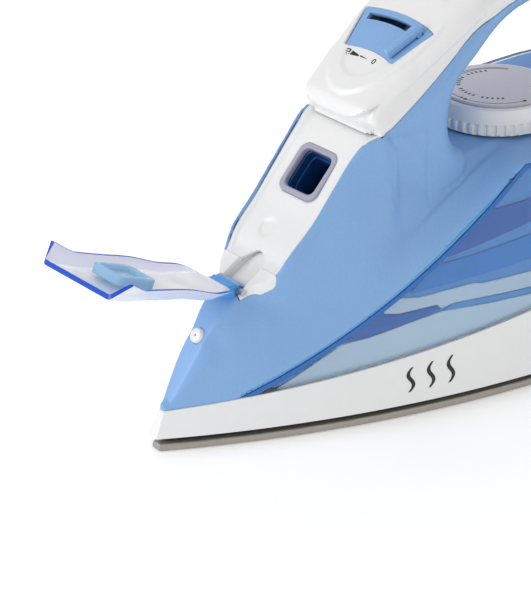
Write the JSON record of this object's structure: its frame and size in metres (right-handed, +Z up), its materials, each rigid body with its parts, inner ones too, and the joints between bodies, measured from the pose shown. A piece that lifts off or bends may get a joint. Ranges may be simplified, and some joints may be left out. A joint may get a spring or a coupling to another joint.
{
  "type": "steam iron",
  "caption": "Hand steam iron with an open fill lid, clear water tank, steam slider, spray nozzle, push buttons and a turning thermostat dial.",
  "frame": {"origin": "middle of the bottom face of the soleplate, which the iron stands on", "axes": "+Z up, -Y towards the nose, +X towards the left side of the iron"},
  "size_m": [0.1104, 0.3109, 0.1564],
  "materials": {
    "white_plastic": "satin gloss",
    "sky_plastic": "satin, fine pearl grain",
    "tank_plastic": "clear blue, polished",
    "sole_metal": "satin coated",
    "aluminium": "as cast",
    "steel": "plain",
    "brass": "plain",
    "black_plastic": "matt",
    "grey_rubber": "matt",
    "amber_lens": "clear amber"
  },
  "bodies": {
    "iron_body": {"soleplate": "sole_metal", "heater_casting": "aluminium", "heating_element": "steel", "chamber_cover": "aluminium", "heat_shield": "black_plastic", "sole_screw_front": "steel", "sole_screw_left": "steel", "sole_screw_right": "steel", "skirt": "white_plastic", "water_tank": "tank_plastic", "front_shell": "sky_plastic", "fill_panel": "white_plastic", "fill_gasket": "grey_rubber", "lid_hinge_pin": "steel", "spray_nozzle": "white_plastic", "nozzle_hose": "grey_rubber", "handle_cover": "white_plastic", "slider_plate": "sky_plastic", "valve_seat": "brass", "valve_grommet": "grey_rubber", "drip_tube": "grey_rubber", "spray_pump": "white_plastic", "spray_spring": "steel", "burst_pump": "white_plastic", "burst_spring": "steel", "thermostat_body": "brass", "lamp_lens": "amber_lens", "rear_cover": "white_plastic", "heel_pad_left": "grey_rubber", "heel_pad_right": "grey_rubber", "thermal_fuse": "steel", "terminal_block": "white_plastic"},
    "lid": {"fill_lid": "tank_plastic", "lid_plug": "tank_plastic"},
    "slider": {"steam_slider": "sky_plastic"},
    "valve": {"valve_rod": "white_plastic"},
    "spray_plunger": {"spray_button": "white_plastic", "spray_piston": "brass"},
    "burst_plunger": {"burst_button": "white_plastic", "burst_piston": "brass"},
    "dial": {"dial": "white_plastic", "dial_cap": "white_plastic", "thermostat_spindle": "steel"},
    "gland": {"cord_gland": "black_plastic"}
  },
  "joints": [
    {"name": "lid_hinge", "type": "hinge", "parent": "iron_body", "child": "lid", "pos_m": [0, -0.084, 0.0554], "axis": [-1, 0, 0], "range_deg": [0, 112]},
    {"name": "steam_slider_swing", "type": "hinge", "parent": "iron_body", "child": "slider", "pos_m": [0, -0.05489, 0.10487], "axis": [0, -0.5446, 0.8387], "range_deg": [0, 24]},
    {"name": "valve_lift", "type": "slide", "parent": "iron_body", "child": "valve", "axis": [0, 0, 1], "range_m": [0, 0.003]},
    {"name": "spray_press", "type": "slide", "parent": "iron_body", "child": "spray_plunger", "axis": [0, 0, -1], "range_m": [0, 0.003], "deforming": ["spray_spring"]},
    {"name": "burst_press", "type": "slide", "parent": "iron_body", "child": "burst_plunger", "axis": [0, 0, -1], "range_m": [0, 0.003], "deforming": ["burst_spring"]},
    {"name": "dial_turn", "type": "hinge", "parent": "iron_body", "child": "dial", "pos_m": [0, 0.045, 0.09], "axis": [0, 0, 1], "range_deg": [0, 270]},
    {"name": "gland_swivel", "type": "hinge", "parent": "iron_body", "child": "gland", "pos_m": [0, 0.144, 0.118], "axis": [1, 0, 0], "range_deg": [-20, 20]}
  ],
  "couplings": [
    {"joint": "valve_lift", "follows": "steam_slider_swing", "m_per_rad": 0.0071548}
  ]
}
